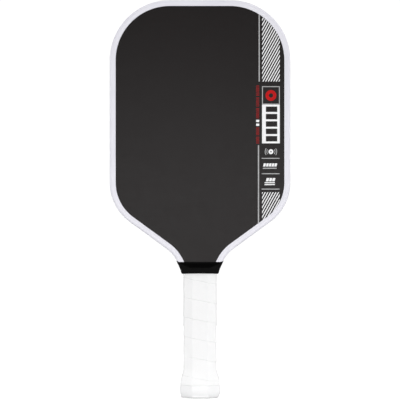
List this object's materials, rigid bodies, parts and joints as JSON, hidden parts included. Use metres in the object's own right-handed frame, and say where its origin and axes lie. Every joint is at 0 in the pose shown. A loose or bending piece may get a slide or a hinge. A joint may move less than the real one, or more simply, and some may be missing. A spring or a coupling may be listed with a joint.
{
  "type": "pickleball paddle",
  "caption": "Pickleball paddle with a dark carbon face, a white edge guard round the head, a rubber collar and a white cushioned grip that flares over its butt cap.",
  "frame": {"origin": "centre of the butt end, the lowest face, in the middle of the paddle's width and thickness", "axes": "+Z along the handle towards the head's top edge, +X across the head, -Y out of the printed front face"},
  "size_m": [0.1906, 0.036, 0.419],
  "materials": {
    "core_plastic": "matte",
    "edge_foam": "matte",
    "carbon_face": "matte",
    "guard_plastic": "satin",
    "pallet_foam": "matte",
    "cap_plastic": "satin",
    "badge_plastic": "satin",
    "tag_film": "satin",
    "staple_wire": "satin",
    "grip_cushion": "matte",
    "tape_film": "satin",
    "collar_rubber": "matte"
  },
  "bodies": {
    "root": {"honeycomb_core": "core_plastic", "perimeter_foam": "edge_foam", "front_face_sheet": "carbon_face", "back_face_sheet": "carbon_face", "edge_guard": "guard_plastic", "handle_pallet_front": "pallet_foam", "handle_pallet_back": "pallet_foam", "butt_cap": "cap_plastic", "butt_badge": "badge_plastic", "nfc_tag": "tag_film", "butt_staple_back_1": "staple_wire", "butt_staple_back_2": "staple_wire", "butt_staple_front_1": "staple_wire", "butt_staple_front_2": "staple_wire", "grip_wrap": "grip_cushion", "grip_finishing_tape": "tape_film", "grip_collar": "collar_rubber"}
  },
  "joints": []
}
